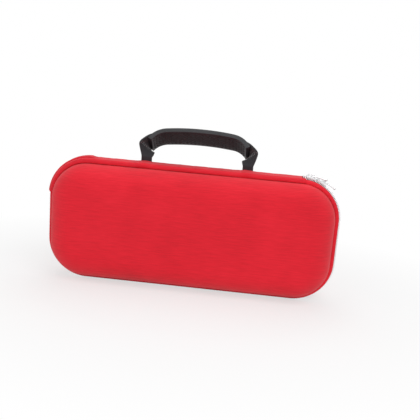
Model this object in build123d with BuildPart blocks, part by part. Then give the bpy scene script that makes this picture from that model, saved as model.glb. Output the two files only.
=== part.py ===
"""Zip-up hard case for a stethoscope, standing on its long edge.

Millimetres. X runs along the case, Y from front (-) to back (+), Z up.
The origin is on the floor, under the middle of the case, in the plane of the zip.
Two moulded half shells meet at a zip that runs round the right side, the bottom and the left side.
A fabric strip along the top joins the halves, and the carrying handle is sewn to the rear half.
"""

import os
from math import asin, cos, degrees, pi, radians, sin, sqrt

from build123d import *

os.makedirs("parts", exist_ok=True)

# ---------------------------------------------------------------- driving dimensions
# Outline of the closed case, measured over the zip teeth
CASE_LENGTH = 290.0
CASE_HEIGHT = 125.0
CORNER_RADIUS = 41.0
HALF_DEPTH = 33.0  # zip plane to the face of each half

# Moulded rim that frames each half, and the crowned panel that rises from it
RIM_INSET = 1.8  # the zip stands this far proud of the rim
RIM_START = 4.8  # half the width of the zip strip between the two rims
RIM_FACE = 8.7  # zip plane to the outer face of the rim
RIM_ROUNDING = 2.8
GROOVE_INSET = 5.2  # the panel starts this far inside the outline
PANEL_ROUNDING = 23.0

# Layers of the moulded wall, from outside to inside
COVER = 0.7
FOAM = 3.0
LINING = 0.8

# Zip
TOOTH_HEIGHT = 2.2
TOOTH_INNER = 0.6  # on the sliders' corner, where their posts pass between the rows
TOOTH_OUTER = 3.4
MESH_REACH = 0.15  # elsewhere the rear row reaches this far past the zip plane
MESH_GAP = 0.3
TAPE = 0.7
TAPE_INNER = 1.0
FLANGE = 0.6  # folded edge of the tape, sewn to the end of the rim
FLANGE_REACH = 9.6
FLANGE_RELIEF = 0.3  # the front tape stands back this far under the sliders
STOP_START = 0.5  # degrees down the corner
STOP_LENGTH = 1.3
STOP_PROUD = 0.4
STOP_OVER = 0.3

# Binding that covers the seam inside
BINDING = 1.0
BINDING_DEPTH = 6.0
BINDING_LIP = 1.7

# Fabric hinge along the top
BAND = 0.9
HINGE_TAPE = 0.8
HINGE_GAP = 0.15
HINGE_TAPE_HALF_WIDTH = 3.9

# Sliders on the top right corner
SLIDER_LENGTH = 10.0
SLIDER_PLATE = 1.0
SLIDER_PLAY = 0.25
SLIDER_HALF_WIDTH = 4.5
SLIDER_FLANK = 0.85
SLIDER_INNER_HALF_WIDTH = 3.9
SLIDER_POST = 0.8
SLIDER_POST_LENGTH = 2.0
UPPER_SLIDER_START = 4.5  # degrees down the corner from its top
SLIDER_SPACING = 15.0  # degrees from one slider to the next
BRIDGE_HEIGHT = 2.65
BRIDGE_WIRE = 0.7
BRIDGE_WIDTH = 1.6
BRIDGE_LENGTH = 7.0

# Pulls
PULL_PIN = 0.55
PULL_ARM = 1.8  # height of the yoke arms
PULL_ARM_WIDTH = 0.9
PULL_YOKE = 5.6
PULL_ROD = 0.7
PULL_BALL = 1.3
PULL_LENGTH = 14.5
UPPER_PULL_ANGLE = 9.0  # degrees below level
LOWER_PULL_ANGLE = 29.0
UPPER_PULL_SIDE = 3.9  # the upper pull lies in front of the lower slider

# Handle
HANDLE_Y = 8.0
HANDLE_RISE = 4.5  # hinge line above the fabric hinge
HANDLE_LEAN = 40.0  # degrees back from upright
ARCH_HALF_SPAN = 53.5
ARCH_HEIGHT = 30.0
ARCH_CROWN_RADIUS = 240.0
ARCH_CORNER_RADIUS = 23.0
GRIP_THICKNESS = 4.5
GRIP_WIDTH = 24.0
GRIP_START = 15.0  # height up the arch at which the rubber starts
GRIP_ROUNDING = 1.2
WEB_THICKNESS = 2.0
WEB_WIDTH = 22.0
WEB_TUCK = 8.0  # length of webbing inside the rubber, measured up the arch
WEB_FOOT_X = 50.5
WEB_FOOT_WIDTH = 10.5
WEB_FOOT_THICKNESS = 1.6
WEB_BULGE = 1.5  # the webbing bows outwards on its way down to the foot
WEB_STEPS = 4
FOOT_PLAY = 0.25
SLOT_COUNT = 10
SLOT_PITCH = 7.0
SLOT_LENGTH = 4.2
SLOT_WIDTH = 13.0
SLOT_DEPTH = 1.2

# Elastic straps in the rear half
STRAP_X = 62.0
STRAP_WIDTH = 25.0
STRAP_THICKNESS = 1.2
STRAP_RISE = 4.0
STRAP_END = 7.0
TACK_THICKNESS = 0.8

# Net pocket in the front half
POCKET_LENGTH = 222.0
POCKET_HEIGHT = 62.0
POCKET_TRIM = 6.0
POCKET_STANDOFF = 2.4
NET_THICKNESS = 0.8
NET_PITCH = 7.5
NET_HOLE = 6.0
HEM_THICKNESS = 2.4

# ---------------------------------------------------------------- derived places
FRONT = -1
REAR = 1
WALL = COVER + FOAM + LINING
MID_HEIGHT = CASE_HEIGHT / 2
ARC_X = CASE_LENGTH / 2 - CORNER_RADIUS  # where the top straight ends
ARC_Z = CASE_HEIGHT - CORNER_RADIUS
RIM_TOP = CASE_HEIGHT - RIM_INSET
HINGE_TOP = RIM_TOP + BAND
TAPE_INSET = TOOTH_HEIGHT
INNER_FACE = HALF_DEPTH - WALL
FLAT_INSET = GROOVE_INSET + PANEL_ROUNDING  # the panel's flat face starts here
HINGE_ZONE = CORNER_RADIUS / 2  # height of the boxes that divide zip from hinge
CORNER_GAP = 0.3


# ---------------------------------------------------------------- helpers
def half_plane(side, depth):
    """A plane parallel to the zip plane, its normal pointing out of one half."""
    return Plane(
        origin=(0, side * depth, MID_HEIGHT),
        x_dir=(-side, 0, 0),
        z_dir=(0, side, 0),
    )


def outline(inset, mode=Mode.ADD):
    """The rounded outline of the case, drawn inside the zip teeth by an inset."""
    RectangleRounded(
        CASE_LENGTH - 2 * inset,
        CASE_HEIGHT - 2 * inset,
        CORNER_RADIUS - inset,
        mode=mode,
    )


def rim_edges(part, side):
    """The edges round the outermost face of one half."""
    return part.faces().sort_by(Axis.Y)[0 if side == FRONT else -1].edges()


def panel_block(side, skin, start):
    """The crowned panel as a solid, its surface a skin's thickness inside the face."""
    with BuildPart() as block:
        with BuildSketch(half_plane(side, start)):
            outline(GROOVE_INSET + skin)
        extrude(amount=HALF_DEPTH - skin - start)
        fillet(rim_edges(block.part, side), PANEL_ROUNDING - skin)
    return block.part


def rim_block(side, skin):
    """The rim as a solid plate with a rounded edge, a skin's thickness inside its face."""
    with BuildPart() as block:
        with BuildSketch(half_plane(side, RIM_START)):
            outline(RIM_INSET + skin)
        extrude(amount=RIM_FACE - skin - RIM_START)
        fillet(rim_edges(block.part, side), RIM_ROUNDING - skin)
    return block.part


def ring(side, outer, inner, near, far):
    """A ring that follows the outline, between two insets and two depths."""
    with BuildPart() as loop:
        with BuildSketch(half_plane(side, near)):
            outline(outer)
            outline(inner, mode=Mode.SUBTRACT)
        extrude(amount=far - near)
    return loop.part


def block(x_range, y_range, z_range):
    """A box between limits, used to divide rings and bands."""
    size = [high - low for low, high in (x_range, y_range, z_range)]
    middle = [(high + low) / 2 for low, high in (x_range, y_range, z_range)]
    return Pos(*middle) * Box(*size, mode=Mode.PRIVATE)


def finish(builder, name):
    """Labels one piece and writes its file."""
    builder.part.label = name
    export_step(builder.part, f"parts/{name}.step")


HINGE_BOX = block((-ARC_X, ARC_X), (-HALF_DEPTH, HALF_DEPTH), (CASE_HEIGHT - HINGE_ZONE, CASE_HEIGHT + 1))
CORNER_BOX = block(
    (ARC_X - 1, CASE_LENGTH / 2 + 1),
    (-HALF_DEPTH, HALF_DEPTH),
    (ARC_Z, CASE_HEIGHT + 1),
)
CORNER_CUT = block(
    (ARC_X - 1, CASE_LENGTH / 2 + 1),
    (-HALF_DEPTH, HALF_DEPTH),
    (ARC_Z - CORNER_GAP, CASE_HEIGHT + 1),
)
POST_CUT = block(
    (ARC_X - 1, CASE_LENGTH / 2 + 1),
    (-TOOTH_INNER, TOOTH_INNER),
    (ARC_Z - CORNER_GAP, CASE_HEIGHT + 1),
)


# ---------------------------------------------------------------- the two half shells
def half_shell(side, name):
    """Outer fabric, foam and lining of one half, moulded together in the real case."""
    rim_skin = rim_block(side, 0)
    panel_skin = panel_block(side, 0, RIM_START)
    rim_core = rim_block(side, COVER)
    panel_core = panel_block(side, COVER, RIM_START)
    lining_outer = panel_block(side, COVER + FOAM, RIM_START)
    cavity = panel_block(side, WALL, RIM_START)

    with BuildPart() as cover:
        add(rim_skin)
        add(panel_skin)
        add(rim_core, mode=Mode.SUBTRACT)
        add(panel_core, mode=Mode.SUBTRACT)
    finish(cover, f"{name}_cover")

    with BuildPart() as foam:
        add(rim_core)
        add(panel_core)
        add(lining_outer, mode=Mode.SUBTRACT)
    finish(foam, f"{name}_shell")

    with BuildPart() as lining:
        add(lining_outer)
        add(cavity, mode=Mode.SUBTRACT)
    finish(lining, f"{name}_lining")


def seam_binding(side, name):
    """Folded tape that hides the seam round the mouth of one half."""
    near = RIM_START - 2 * FLANGE
    mouth = GROOVE_INSET + WALL
    with BuildPart() as binding:
        add(ring(side, mouth, mouth + BINDING, near, near + BINDING_DEPTH))
        add(ring(side, mouth - BINDING_LIP, mouth + BINDING, near, near + FLANGE))
    finish(binding, f"{name}_binding")


# ---------------------------------------------------------------- the zip
def zip_half(side, name):
    """Tape and teeth of one half, and the top edge where the hinge is sewn instead."""
    seam = RIM_START - FLANGE
    flange = ring(side, TAPE_INSET, FLANGE_REACH, seam, RIM_START)
    run = ring(side, TAPE_INSET, TAPE_INSET + TAPE, TAPE_INNER, seam)
    mesh_start = MESH_REACH + MESH_GAP if side == FRONT else -MESH_REACH
    teeth = ring(side, 0, TOOTH_HEIGHT, mesh_start, TOOTH_OUTER)

    with BuildPart() as corner_relief:
        add(ring(FRONT, TAPE_INSET, TAPE_INSET + TAPE + FLANGE_RELIEF, TAPE_INNER, RIM_START))
        add(CORNER_CUT, mode=Mode.INTERSECT)

    with BuildPart() as tape:
        add(run)
        add(flange)
        add(HINGE_BOX, mode=Mode.SUBTRACT)
        add(corner_relief.part, mode=Mode.SUBTRACT)
    finish(tape, f"{name}_zip_tape")

    with BuildPart() as coil:
        add(teeth)
        add(HINGE_BOX, mode=Mode.SUBTRACT)
        add(CORNER_CUT if side == FRONT else POST_CUT, mode=Mode.SUBTRACT)
    finish(coil, f"{name}_zip_coil")

    with BuildPart() as hinge_tape:
        add(flange)
        add(HINGE_BOX, mode=Mode.INTERSECT)
    finish(hinge_tape, f"{name}_hinge_tape")


def corner_zip():
    """The front row of teeth on the slider's corner, which stays closed with the rear row."""
    with BuildPart() as coil:
        add(ring(FRONT, 0, TOOTH_HEIGHT, TOOTH_INNER, TOOTH_OUTER))
        add(CORNER_BOX, mode=Mode.INTERSECT)
        add(HINGE_BOX, mode=Mode.SUBTRACT)
    finish(coil, "corner_zip_coil")

    seam = RIM_START - FLANGE - CORNER_GAP
    with BuildPart() as tape:
        add(ring(FRONT, TAPE_INSET, TAPE_INSET + TAPE, TAPE_INNER, seam))
        add(CORNER_BOX, mode=Mode.INTERSECT)
        add(HINGE_BOX, mode=Mode.SUBTRACT)
    finish(tape, "corner_zip_tape")


def zip_stops():
    """Metal clips that end the zip: one across both rows at the right, one on each row at the left."""
    length = degrees(STOP_LENGTH / CORNER_RADIUS)
    start = STOP_START
    outer = CORNER_RADIUS + STOP_PROUD
    inner = CORNER_RADIUS - TAPE_INSET
    reach = TOOTH_OUTER + STOP_OVER
    both = corner_band(inner, outer, start, start + length, 2 * reach)
    middle = (TOOTH_INNER + reach) / 2
    width = reach - TOOTH_INNER
    rear_teeth = ring(REAR, 0, TOOTH_HEIGHT, TOOTH_INNER, TOOTH_OUTER)
    front_teeth = ring(FRONT, 0, TOOTH_HEIGHT, TOOTH_INNER, TOOTH_OUTER)
    one_rear = mirror(corner_band(inner, outer, start, start + length, width, middle), about=Plane.YZ)
    one_front = mirror(corner_band(inner, outer, start, start + length, width, -middle), about=Plane.YZ)
    with BuildPart() as rear_stops:
        add(both)
        add(one_rear)
        add(rear_teeth, mode=Mode.SUBTRACT)
        add(front_teeth, mode=Mode.SUBTRACT)
    finish(rear_stops, "rear_zip_stops")
    with BuildPart() as front_stop:
        add(one_front)
        add(front_teeth, mode=Mode.SUBTRACT)
    finish(front_stop, "front_zip_stop")


# ---------------------------------------------------------------- the hinge along the top
def hinge_band(side, name):
    """Fabric that wraps the rim along the top, from the fold down into the groove."""
    groove_z = CASE_HEIGHT - GROOVE_INSET
    face = RIM_FACE + BAND
    near = RIM_START + HINGE_GAP
    with BuildPart() as band:
        with BuildSketch(Plane.YZ.offset(-ARC_X)):
            with BuildLine():
                Polyline(
                    (side * near, groove_z),
                    (side * near, HINGE_TOP),
                    (side * (face - RIM_ROUNDING - BAND), HINGE_TOP),
                )
                RadiusArc(
                    (side * (face - RIM_ROUNDING - BAND), HINGE_TOP),
                    (side * face, HINGE_TOP - RIM_ROUNDING - BAND),
                    side * (RIM_ROUNDING + BAND),
                )
                Polyline(
                    (side * face, HINGE_TOP - RIM_ROUNDING - BAND),
                    (side * face, groove_z),
                    (side * near, groove_z),
                )
            make_face()
        extrude(amount=2 * ARC_X)
        add(rim_block(side, 0), mode=Mode.SUBTRACT)
        add(panel_block(side, 0, RIM_START), mode=Mode.SUBTRACT)
    finish(band, f"{name}_hinge_band")


def hinge_strip():
    """The free middle of the fabric, which folds at both rims, and its inner facing."""
    with BuildPart() as strip:
        add(
            block(
                (-ARC_X, ARC_X),
                (HINGE_GAP - RIM_START, RIM_START - HINGE_GAP),
                (RIM_TOP, HINGE_TOP),
            )
        )
    finish(strip, "hinge_strip")

    with BuildPart() as facing:
        add(
            block(
                (-ARC_X, ARC_X),
                (-HINGE_TAPE_HALF_WIDTH, HINGE_TAPE_HALF_WIDTH),
                (RIM_TOP - HINGE_TAPE, RIM_TOP),
            )
        )
    finish(facing, "hinge_facing")


# ---------------------------------------------------------------- sliders and pulls
def corner_band(r_inner, r_outer, start, end, width, y=0.0):
    """A solid between two radii of the top right corner, angles down from its top."""
    with BuildPart() as band:
        with BuildSketch(Plane.XZ.offset(-y)):
            with BuildLine():
                outer = CenterArc((ARC_X, ARC_Z), r_outer, 90 - end, end - start)
                inner = CenterArc((ARC_X, ARC_Z), r_inner, 90 - end, end - start)
                Line(outer @ 0, inner @ 0)
                Line(outer @ 1, inner @ 1)
            make_face()
        extrude(amount=width / 2, both=True)
    return band.part


def arc_degrees(length):
    """Angle that a length takes up on the corner."""
    return degrees(length / CORNER_RADIUS)


def slider(start, name):
    """One slider: outer and inner plate, two flanks, the post between them and the bridge."""
    end = start + arc_degrees(SLIDER_LENGTH)
    middle = (start + end) / 2
    outer_low = CORNER_RADIUS + SLIDER_PLAY
    outer_high = outer_low + SLIDER_PLATE
    inner_high = CORNER_RADIUS - TAPE_INSET - TAPE - SLIDER_PLAY
    inner_low = inner_high - SLIDER_PLATE
    flank_low = CORNER_RADIUS - TAPE_INSET + SLIDER_PLAY
    flank_y = SLIDER_HALF_WIDTH - SLIDER_FLANK / 2
    post_end = start + arc_degrees(SLIDER_POST_LENGTH)
    with BuildPart() as body:
        add(corner_band(outer_low, outer_high, start, end, 2 * SLIDER_HALF_WIDTH))
        for y in (-flank_y, flank_y):
            add(corner_band(flank_low, outer_high, start, end, SLIDER_FLANK, y))
        add(corner_band(inner_low, inner_high, start, end, 2 * SLIDER_INNER_HALF_WIDTH))
        add(corner_band(inner_low, outer_high, start, post_end, SLIDER_POST))
    finish(body, f"{name}_slider_body")

    reach = arc_degrees(BRIDGE_LENGTH / 2)
    window = arc_degrees(BRIDGE_LENGTH / 2 - BRIDGE_WIRE)
    top = outer_high + BRIDGE_HEIGHT
    with BuildPart() as bridge:
        add(corner_band(outer_high, top, middle - reach, middle + reach, BRIDGE_WIDTH))
        add(
            corner_band(outer_high - 1, top - BRIDGE_WIRE, middle - window, middle + window, 2 * BRIDGE_WIDTH),
            mode=Mode.SUBTRACT,
        )
    finish(bridge, f"{name}_slider_bridge")


def pull_pivot(start):
    """The place of a pull's pin, in the middle of its slider's bridge."""
    middle = start + arc_degrees(SLIDER_LENGTH) / 2
    r = CORNER_RADIUS + SLIDER_PLAY + SLIDER_PLATE + PULL_ARM / 2 + SLIDER_PLAY / 2
    return (
        ARC_X + r * sin(radians(middle)),
        0,
        ARC_Z + r * cos(radians(middle)),
    )


def pull(start, below, side_step, name):
    """A pull: pin and yoke that straddle the bridge, then a thin rod with a ball end."""
    x, y, z = pull_pivot(start)
    along = Vector(cos(radians(below)), 0, -sin(radians(below)))
    flat = Plane(origin=(x, y, z), x_dir=along, z_dir=(0, -1, 0))
    inside = BRIDGE_WIDTH / 2 + SLIDER_PLAY
    outside = inside + PULL_ARM_WIDTH
    with BuildPart() as handle:
        with BuildSketch(flat):
            Circle(PULL_PIN)
        extrude(amount=outside, both=True)
        for near in (-outside, inside):
            with BuildSketch(flat.offset(near)):
                SlotCenterPoint((PULL_YOKE / 2, 0), (PULL_YOKE, 0), PULL_ARM)
            extrude(amount=PULL_ARM_WIDTH)
        with BuildSketch(flat):
            with Locations((PULL_YOKE, 0)):
                Circle(PULL_ARM / 2)
        extrude(amount=outside, both=True)
        knee_side = min(side_step, (inside + outside) / 2)
        knee = flat.from_local_coords((PULL_YOKE, 0, knee_side))
        tip = flat.from_local_coords((PULL_LENGTH, 0, side_step))
        rod_way = tip - knee
        with BuildSketch(Plane(origin=knee, z_dir=rod_way)):
            Circle(PULL_ROD)
        extrude(amount=rod_way.length)
        with Locations(tip):
            Sphere(PULL_BALL)
    finish(handle, name)


# ---------------------------------------------------------------- the handle
HANDLE_Z = HINGE_TOP + HANDLE_RISE
LEAN = radians(HANDLE_LEAN)
ARCH_UP = Vector(0, sin(LEAN), cos(LEAN))
ARCH_PLANE = Plane(
    origin=(0, HANDLE_Y, HANDLE_Z),
    x_dir=(1, 0, 0),
    z_dir=(0, -cos(LEAN), sin(LEAN)),
)
WEB_INSET = (GRIP_THICKNESS - WEB_THICKNESS) / 2
CORNER_OUT = ARCH_HALF_SPAN - ARCH_CORNER_RADIUS  # middle of the arch to a corner's centre
CROWN_ANGLE = asin(CORNER_OUT / (ARCH_CROWN_RADIUS - ARCH_CORNER_RADIUS))
CROWN_DROP = (ARCH_CROWN_RADIUS - ARCH_CORNER_RADIUS) * (1 - cos(CROWN_ANGLE))
LEG_TOP = ARCH_HEIGHT - ARCH_CORNER_RADIUS - CROWN_DROP


def arch_line(inset):
    """The arch's line from its right foot to its left one: leg, corner, crown, corner, leg."""
    leg = ARCH_HALF_SPAN - inset
    corner = ARCH_CORNER_RADIUS - inset
    half_crown = degrees(CROWN_ANGLE)
    Line((leg, 0), (leg, LEG_TOP))
    CenterArc((CORNER_OUT, LEG_TOP), corner, 0, 90 - half_crown)
    CenterArc((0, ARCH_HEIGHT - ARCH_CROWN_RADIUS), ARCH_CROWN_RADIUS - inset, 90 - half_crown, 2 * half_crown)
    CenterArc((-CORNER_OUT, LEG_TOP), corner, 90 + half_crown, 90 - half_crown)
    Line((-leg, LEG_TOP), (-leg, 0))


def arch_band(inset, thickness, width):
    """A band bent into the arch, its outer face an inset inside the grip's outer face."""
    outer_foot = ARCH_HALF_SPAN - inset
    with BuildPart() as band:
        with BuildSketch(ARCH_PLANE):
            with BuildLine():
                arch_line(inset)
                arch_line(inset + thickness)
                Line((outer_foot, 0), (outer_foot - thickness, 0))
                Line((-outer_foot, 0), (thickness - outer_foot, 0))
            make_face()
        extrude(amount=width / 2, both=True)
    return band.part


def arch_slice(low, high):
    """A block across the whole handle between two heights up the arch."""
    with BuildPart() as whole:
        with BuildSketch(ARCH_PLANE):
            with Locations((0, (low + high) / 2)):
                Rectangle(3 * ARCH_HALF_SPAN, high - low)
        extrude(amount=GRIP_WIDTH, both=True)
    return whole.part


def web_reach(inset):
    """How far the arch's line stands out from its middle where the rubber starts."""
    rise = max(0, GRIP_START - LEG_TOP)
    return CORNER_OUT + sqrt((ARCH_CORNER_RADIUS - inset) ** 2 - rise**2)


def webbing():
    """The right end of the webbing: flat inside the rubber, twisted a quarter turn down to the foot."""
    rubber_x = (web_reach(WEB_INSET) + web_reach(WEB_INSET + WEB_THICKNESS)) / 2
    with BuildPart() as web:
        add(arch_band(WEB_INSET, WEB_THICKNESS, WEB_WIDTH))
        add(arch_slice(GRIP_START, GRIP_START + WEB_TUCK), mode=Mode.INTERSECT)
        split(bisect_by=Plane.YZ, keep=Keep.TOP)
        for step in range(WEB_STEPS + 1):
            share = step / WEB_STEPS
            turn = pi / 2 * share
            centre = rubber_x + (WEB_FOOT_X - rubber_x) * share + WEB_BULGE * sin(pi * share)
            origin = ARCH_PLANE.from_local_coords((centre, GRIP_START * (1 - share), 0))
            across = ARCH_PLANE.z_dir * cos(turn) + ARCH_PLANE.x_dir * sin(turn)
            width = WEB_WIDTH + (WEB_FOOT_WIDTH - WEB_WIDTH) * share
            thickness = WEB_THICKNESS + (WEB_FOOT_THICKNESS - WEB_THICKNESS) * share
            with BuildSketch(Plane(origin=origin, x_dir=across, z_dir=ARCH_UP)):
                Rectangle(width, thickness)
        loft(ruled=True)
        with BuildSketch(Plane.YZ.offset(WEB_FOOT_X)):
            with Locations((HANDLE_Y, HANDLE_Z)):
                Circle(WEB_THICKNESS / 2)
        extrude(amount=WEB_FOOT_WIDTH / 2, both=True)
    return web.part


def grip_slot(x):
    """The block that cuts one slot into the outer face of the grip."""
    with BuildPart() as slot:
        add(arch_band(-SLOT_DEPTH, 2 * SLOT_DEPTH, SLOT_WIDTH))
        with BuildSketch(ARCH_PLANE):
            with Locations((x, ARCH_HEIGHT)):
                Rectangle(SLOT_LENGTH, ARCH_HEIGHT)
        extrude(amount=GRIP_WIDTH, both=True, mode=Mode.INTERSECT)
    return slot.part


def handle():
    """Rubber grip with a row of slots, moulded round both ends of the webbing."""
    right_web = webbing()
    slots = [grip_slot((number - (SLOT_COUNT - 1) / 2) * SLOT_PITCH) for number in range(SLOT_COUNT)]

    with BuildPart() as right:
        add(right_web)
    finish(right, "handle_webbing_right")

    with BuildPart() as left:
        mirror(right_web, about=Plane.YZ)
    finish(left, "handle_webbing_left")

    with BuildPart() as grip:
        add(arch_band(0, GRIP_THICKNESS, GRIP_WIDTH))
        add(arch_slice(GRIP_START, 2 * ARCH_HEIGHT), mode=Mode.INTERSECT)
        fillet(grip.edges().filter_by(GeomType.CIRCLE), GRIP_ROUNDING)
        for slot in slots:
            add(slot, mode=Mode.SUBTRACT)
        add(right.part, mode=Mode.SUBTRACT)
        add(left.part, mode=Mode.SUBTRACT)
    finish(grip, "handle_grip")


def handle_anchor(x_sign, name):
    """The sewn foot of the webbing, which stands on the rear hinge fabric under the handle's hinge line."""
    half = WEB_THICKNESS / 2
    with BuildPart() as foot:
        add(
            block(
                (x_sign * WEB_FOOT_X - WEB_FOOT_WIDTH / 2, x_sign * WEB_FOOT_X + WEB_FOOT_WIDTH / 2),
                (HANDLE_Y - half, HANDLE_Y + half),
                (HINGE_TOP - BAND, HANDLE_Z - half - FOOT_PLAY),
            )
        )
        add(block((-ARC_X, ARC_X), (0, RIM_FACE - RIM_ROUNDING), (0, HINGE_TOP)), mode=Mode.SUBTRACT)
        with BuildSketch(Plane.YZ.offset(-ARC_X)):
            with Locations((RIM_FACE - RIM_ROUNDING, HINGE_TOP - RIM_ROUNDING - BAND)):
                Circle(RIM_ROUNDING + BAND)
        extrude(amount=2 * ARC_X, mode=Mode.SUBTRACT)
    finish(foot, name)


# ---------------------------------------------------------------- inside the halves
def elastic_strap(x, name):
    """A bowed elastic band across the rear half, sewn down at both ends."""
    flat_low = FLAT_INSET + LINING
    flat_high = CASE_HEIGHT - flat_low
    low = flat_low + STRAP_END
    high = flat_high - STRAP_END
    seat = INNER_FACE - TACK_THICKNESS
    with BuildPart() as strap:
        with BuildSketch(Plane.YZ.offset(x - STRAP_WIDTH / 2)):
            with BuildLine():
                Polyline((seat, high), (seat, flat_high), (seat - STRAP_THICKNESS, flat_high))
                Line((seat - STRAP_THICKNESS, flat_high), (seat - STRAP_THICKNESS, high))
                ThreePointArc(
                    (seat - STRAP_THICKNESS, high),
                    (seat - STRAP_THICKNESS - STRAP_RISE, MID_HEIGHT),
                    (seat - STRAP_THICKNESS, low),
                )
                Polyline(
                    (seat - STRAP_THICKNESS, low),
                    (seat - STRAP_THICKNESS, flat_low),
                    (seat, flat_low),
                    (seat, low),
                )
                ThreePointArc((seat, low), (seat - STRAP_RISE, MID_HEIGHT), (seat, high))
            make_face()
        extrude(amount=STRAP_WIDTH)
    finish(strap, name)


def strap_tacks():
    """Folded ends of the elastic straps, sewn to the lining."""
    flat_low = FLAT_INSET + LINING
    flat_high = CASE_HEIGHT - flat_low
    with BuildPart() as tacks:
        for x in (-STRAP_X, STRAP_X):
            for ends in ((flat_low, flat_low + STRAP_END), (flat_high - STRAP_END, flat_high)):
                half = STRAP_WIDTH / 2
                add(block((x - half, x + half), (INNER_FACE - TACK_THICKNESS, INNER_FACE), ends))
    finish(tacks, "strap_tacks")


def net_pocket():
    """Net pocket on the lining of the front half: trim on three sides, net and elastic hem."""
    low = MID_HEIGHT - POCKET_HEIGHT / 2
    high = low + POCKET_HEIGHT
    half = POCKET_LENGTH / 2
    net_face = INNER_FACE - POCKET_STANDOFF
    back = Plane(origin=(0, -net_face, (low + high) / 2), x_dir=(1, 0, 0), z_dir=(0, -1, 0))
    columns = int((POCKET_LENGTH - 2 * POCKET_TRIM) / NET_PITCH)
    rows = int((POCKET_HEIGHT - 2 * POCKET_TRIM) / NET_PITCH)
    with BuildPart() as net:
        with BuildSketch(back):
            Rectangle(POCKET_LENGTH - POCKET_TRIM, POCKET_HEIGHT - POCKET_TRIM)
            with GridLocations(NET_PITCH, NET_PITCH, columns, rows):
                Rectangle(NET_HOLE, NET_HOLE, mode=Mode.SUBTRACT)
        extrude(amount=NET_THICKNESS)
    finish(net, "pocket_net")

    with BuildPart() as trim:
        with BuildSketch(back):
            Rectangle(POCKET_LENGTH, POCKET_HEIGHT)
            Rectangle(POCKET_LENGTH - 2 * POCKET_TRIM, POCKET_HEIGHT - 2 * POCKET_TRIM, mode=Mode.SUBTRACT)
            with Locations((0, POCKET_HEIGHT / 2)):
                Rectangle(POCKET_LENGTH, 2 * POCKET_TRIM, mode=Mode.SUBTRACT)
        extrude(amount=POCKET_STANDOFF)
        add(net.part, mode=Mode.SUBTRACT)
    finish(trim, "pocket_trim")

    with BuildPart() as hem:
        add(
            block(
                (-half, half),
                (-net_face - HEM_THICKNESS / 2, HEM_THICKNESS / 2 - net_face),
                (high - POCKET_TRIM, high),
            )
        )
        fillet(hem.edges().filter_by(Axis.X), HEM_THICKNESS / 2 - 0.2)
        add(net.part, mode=Mode.SUBTRACT)
    finish(hem, "pocket_hem")


# ---------------------------------------------------------------- make every piece
for half_side, half_name in ((REAR, "rear"), (FRONT, "front")):
    half_shell(half_side, half_name)
    seam_binding(half_side, half_name)
    zip_half(half_side, half_name)
    hinge_band(half_side, half_name)

corner_zip()
zip_stops()
hinge_strip()

LOWER_SLIDER_START = UPPER_SLIDER_START + SLIDER_SPACING
slider(UPPER_SLIDER_START, "upper")
slider(LOWER_SLIDER_START, "lower")
pull(UPPER_SLIDER_START, UPPER_PULL_ANGLE, UPPER_PULL_SIDE, "upper_pull")
pull(LOWER_SLIDER_START, LOWER_PULL_ANGLE, 0, "lower_pull")

handle()
handle_anchor(-1, "handle_anchor_left")
handle_anchor(1, "handle_anchor_right")

elastic_strap(-STRAP_X, "elastic_strap_left")
elastic_strap(STRAP_X, "elastic_strap_right")
strap_tacks()
net_pocket()
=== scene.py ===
# %% [markdown]
# # A stethoscope hard case
# The case is moulded from fabric-covered foam in two halves. A zip closes it on three sides, and a cloth hinge
# joins the halves along the top. We load the solids as a fixed frame, then dress each of them with a detailed
# piece. Sizes in the comments are millimetres. The script works in metres, so a small factor turns one into the
# other.

# %% Load the frame
import math

import bpy
from mathutils import Matrix, Vector


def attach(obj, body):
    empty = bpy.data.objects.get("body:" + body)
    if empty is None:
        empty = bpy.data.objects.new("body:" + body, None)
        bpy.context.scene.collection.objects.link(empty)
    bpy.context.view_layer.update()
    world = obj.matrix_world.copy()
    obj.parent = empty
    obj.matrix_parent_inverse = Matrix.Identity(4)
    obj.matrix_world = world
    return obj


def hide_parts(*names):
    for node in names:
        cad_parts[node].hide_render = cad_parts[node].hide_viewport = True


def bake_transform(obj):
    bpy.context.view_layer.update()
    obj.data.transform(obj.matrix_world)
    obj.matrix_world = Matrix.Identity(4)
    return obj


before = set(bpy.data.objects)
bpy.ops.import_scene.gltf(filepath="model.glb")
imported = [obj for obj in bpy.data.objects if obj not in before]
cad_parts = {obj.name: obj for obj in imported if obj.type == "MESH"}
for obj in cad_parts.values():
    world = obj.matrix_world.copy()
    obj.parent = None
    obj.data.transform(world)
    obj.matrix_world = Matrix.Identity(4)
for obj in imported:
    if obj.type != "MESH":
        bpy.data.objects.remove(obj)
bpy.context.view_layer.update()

# %% [markdown]
# ## Sizes that every piece shares
# The case is a box with round corners. Every seam, row of teeth and rim runs parallel to its outline, so a place
# on it is an inset from that outline and a depth from the plane of the zip.

# %% Sizes
MM = 0.001
LENGTH, HEIGHT, CORNER = 290 * MM, 125 * MM, 41 * MM
MIDDLE = HEIGHT / 2
ARC_X = LENGTH / 2 - CORNER
ARC_Z = HEIGHT - CORNER
RIM_INSET, RIM_START, RIM_FACE, RIM_ROUND = 1.8 * MM, 4.8 * MM, 8.7 * MM, 2.8 * MM
PANEL_INSET, PANEL_ROUND, FACE = 5.2 * MM, 23 * MM, 33 * MM
WALL = 3.7 * MM
FOLD_Z = 124.1 * MM
FRONT, REAR = -1, 1
HALVES = {FRONT: "front", REAR: "rear"}
BODY = {FRONT: "front_half", REAR: "rear_half"}
print("zip corner centre", round(ARC_X, 4), round(ARC_Z, 4))

# %% [markdown]
# ## A way to write shader maths
# A material is easier to read as an expression than as a list of links. This small class wraps an output socket,
# and its operators add the Math nodes.


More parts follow.
